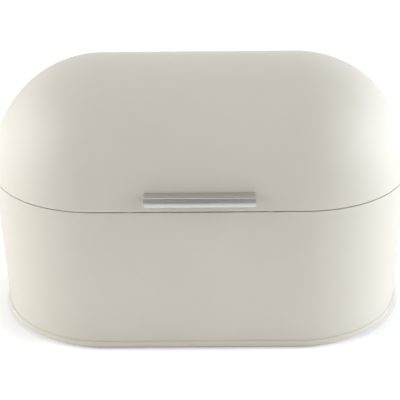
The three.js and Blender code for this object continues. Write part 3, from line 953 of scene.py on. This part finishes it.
# Studio light
AMBIENT = 0.02
LIGHT_TARGET = Vector((0, 0, 0.12))
LIGHT_DISTANCE = 1.25
WHITE = (1, 1, 1, 1)
NEUTRAL = (1, 1, 1)
COOL = (0.95, 1, 1.09)
COOLER = (0.93, 1.01, 1.15)

# Softboxes round the object: name, turn from the front, height, width, depth, watts, colour
SOFTBOXES = (
    ("left_front", -55, 0.45, 0.9, 0.9, 1.9, NEUTRAL),
    ("left_side", -80, 0.45, 0.9, 0.9, 3.7, COOL),
    ("left_high", -75, 1.0, 0.8, 0.8, 6.7, NEUTRAL),
    ("left_rear", -105, 0.45, 0.9, 0.9, 4.4, NEUTRAL),
    ("right_front", 55, 0.45, 0.9, 0.9, 2.4, NEUTRAL),
    ("right_side", 80, 0.45, 0.9, 0.9, 6.2, COOLER),
    ("right_high", 75, 1.0, 0.8, 0.8, 5.0, NEUTRAL),
    ("right_rear", 105, 0.45, 0.9, 0.9, 4.6, COOLER),
    ("right_back", 130, 0.45, 0.9, 0.9, 0.9, NEUTRAL),
)

# Softboxes overhead and low in front: name, place, width, depth, watts
PLACED_SOFTBOXES = (
    ("top", (0, 0, 1.4), 1.4, 1.0, 2.9),
    ("top_rear", (0, 0.8, 1.1), 1.4, 0.8, 1.7),
    ("front_low", (0, -1.2, 0.12), 1.6, 0.2, 0.7),
)


def area_light(name, place, width, depth, watts, colour):
    data = bpy.data.lights.new(name, "AREA")
    data.shape = "RECTANGLE"
    data.size = width
    data.size_y = depth
    data.energy = watts
    data.color = colour
    light = bpy.data.objects.new(name, data)
    bpy.context.scene.collection.objects.link(light)
    light.location = place
    light.rotation_euler = (LIGHT_TARGET - Vector(place)).to_track_quat("-Z", "Y").to_euler()


def make_lights():
    for name, turn, height, width, depth, watts, colour in SOFTBOXES:
        angle = math.radians(turn)
        place = (LIGHT_DISTANCE * math.sin(angle), -LIGHT_DISTANCE * math.cos(angle), height)
        area_light(name, place, width, depth, watts, colour)
    for lamp in PLACED_SOFTBOXES:
        area_light(*lamp, NEUTRAL)


def seen_directly(nodes, links):
    """1 for rays from the camera and for reflected or refracted rays, else 0."""
    path = nodes.new("ShaderNodeLightPath")
    rays = math_node(nodes, links, "MAXIMUM", path.outputs["Is Camera Ray"], path.outputs["Is Glossy Ray"])
    return math_node(nodes, links, "MAXIMUM", rays, path.outputs["Is Transmission Ray"])


def make_world():
    """A dim surrounding light that looks plain white where it is seen."""
    world = bpy.data.worlds.new("studio")
    bpy.context.scene.world = world
    world.use_nodes = True
    nodes, links = world.node_tree.nodes, world.node_tree.links
    ambient = nodes["Background"]
    ambient.inputs["Color"].default_value = WHITE
    ambient.inputs["Strength"].default_value = AMBIENT
    white = nodes.new("ShaderNodeBackground")
    white.inputs["Color"].default_value = WHITE
    white.inputs["Strength"].default_value = 1.0
    mix = nodes.new("ShaderNodeMixShader")
    links.new(seen_directly(nodes, links), mix.inputs[0])
    links.new(ambient.outputs[0], mix.inputs[1])
    links.new(white.outputs[0], mix.inputs[2])
    links.new(mix.outputs[0], nodes["World Output"].inputs["Surface"])


def plain_matt(name, grey):
    material, nodes, links, shader = new_material(name)
    shader.inputs["Base Color"].default_value = (grey, grey, grey, 1)
    shader.inputs["Roughness"].default_value = MATT_ROUGHNESS
    shader.inputs["Specular IOR Level"].default_value = 0.0
    return material, nodes, links, shader


def make_stage():
    bm = bmesh.new()
    drop = Matrix.Translation((0, 0, -FLOOR_DROP))
    bmesh.ops.create_grid(bm, x_segments=1, y_segments=1, size=FLOOR_SIZE, matrix=drop)
    make_object("stage_floor", bm, floor_material())
    bm = bmesh.new()
    outline = ((CARD_NEAR, CARD_LIFT), (CARD_FAR, CARD_LIFT), (CARD_FAR, CARD_TOP))
    left = [bm.verts.new((-CARD_HALF_WIDTH, y, z)) for y, z in outline]
    right = [bm.verts.new((CARD_HALF_WIDTH, y, z)) for y, z in outline]
    for low in range(len(outline) - 1):
        bm.faces.new((left[low], left[low + 1], right[low + 1], right[low]))
    card = make_object("stage_card", bm, plain_matt("stage_card", CARD_GREY)[0])
    card.visible_camera = False
    card.visible_diffuse = False
    card.visible_shadow = False
    card.visible_transmission = False


def math_node(nodes, links, operation, first, second=None):
    """A Math node on values that are sockets or plain numbers."""
    node = nodes.new("ShaderNodeMath")
    node.operation = operation
    for place, value in enumerate((first, second)):
        if isinstance(value, (int, float)):
            node.inputs[place].default_value = value
        elif value:
            links.new(value, node.inputs[place])
    return node.outputs[0]


def ramp(nodes, links, value, start, end, low, high):
    """Eases a value that runs from start to end into one from low to high."""
    node = nodes.new("ShaderNodeMapRange")
    node.interpolation_type = "SMOOTHSTEP"
    node.inputs["From Min"].default_value = start
    node.inputs["From Max"].default_value = end
    node.inputs["To Min"].default_value = low
    node.inputs["To Max"].default_value = high
    links.new(value, node.inputs["Value"])
    return node.outputs["Result"]


def floor_material():
    """White floor that glows a little, less so at the foot of the box as painted contact shadow and painted
    shade, with a painted shadow round the ends, and more far away from it. Its glow onto the box is painted
    bounce light.
    """
    material, nodes, links, shader = plain_matt("stage_floor", FLOOR_WHITE)
    place = nodes.new("ShaderNodeSeparateXYZ")
    links.new(nodes.new("ShaderNodeNewGeometry").outputs["Position"], place.inputs[0])
    sideways = math_node(nodes, links, "ABSOLUTE", place.outputs[0])
    past_end = math_node(nodes, links, "SUBTRACT", sideways, STRAIGHT)
    across = math_node(nodes, links, "MAXIMUM", past_end, 0.0)
    squares = [math_node(nodes, links, "MULTIPLY", side, side) for side in (across, place.outputs[1])]
    from_spine = math_node(nodes, links, "SQRT", math_node(nodes, links, "ADD", *squares))
    away = math_node(nodes, links, "SUBTRACT", from_spine, RING_OUT)
    # Painted light beside the ends, on the floor and onto the box
    painted_end_light = ramp(nodes, links, sideways, *PAINTED_LIGHT_BESIDE_ENDS)
    # Painted contact shadow: less glow at the foot of the box
    seen = ramp(nodes, links, away, 0.0, PAINTED_SHADOW_REACH, PAINTED_SHADOW_GLOW, FLOOR_GLOW)
    seen = math_node(nodes, links, "MAXIMUM", seen, painted_end_light)
    # Painted shadow on the floor round the ends, fading outwards
    painted_end_shadow_fade = ramp(nodes, links, away, 0.0, PAINTED_END_SHADOW_REACH, PAINTED_END_SHADOW, 0.0)
    at_end = ramp(nodes, links, across, *PAINTED_END_SHADOW_SPAN, 0.0, 1.0)
    seen = math_node(nodes, links, "SUBTRACT", seen, math_node(nodes, links, "MULTIPLY", painted_end_shadow_fade, at_end))
    sweep = ramp(nodes, links, away, SWEEP_NEAR, SWEEP_FAR, 0.0, 1.0 - FLOOR_GLOW)
    # Painted bounce light onto the box, weaker near its foot as painted shade
    painted_bounce = ramp(nodes, links, away, 0.0, PAINTED_BOUNCE_REACH, PAINTED_FOOT_SHADE_GLOW, FLOOR_GLOW)
    painted_bounce = math_node(nodes, links, "MAXIMUM", painted_bounce, painted_end_light)
    direct = seen_directly(nodes, links)
    indirect = math_node(nodes, links, "SUBTRACT", 1.0, direct)
    shown = math_node(nodes, links, "MULTIPLY", math_node(nodes, links, "ADD", seen, sweep), direct)
    given = math_node(nodes, links, "MULTIPLY", painted_bounce, indirect)
    glow = nodes.new("ShaderNodeEmission")
    links.new(math_node(nodes, links, "ADD", shown, given), glow.inputs["Strength"])
    total = nodes.new("ShaderNodeAddShader")
    links.new(shader.outputs[0], total.inputs[0])
    links.new(glow.outputs[0], total.inputs[1])
    links.new(total.outputs[0], nodes["Material Output"].inputs["Surface"])
    return material


# Everything is put in the scene
bpy.context.scene.view_settings.view_transform = "Standard"
make_camera()
make_world()
make_lights()
make_stage()

make_wall()
make_ring()
make_floor()
for node in FEET:
    make_foot(node)
for node in BUFFERS:
    make_buffer(node)
make_lid()
make_grip()
for name, side in SIDES:
    make_screw(name, side)
    make_washer(name, side)
    make_hinge(name, side)
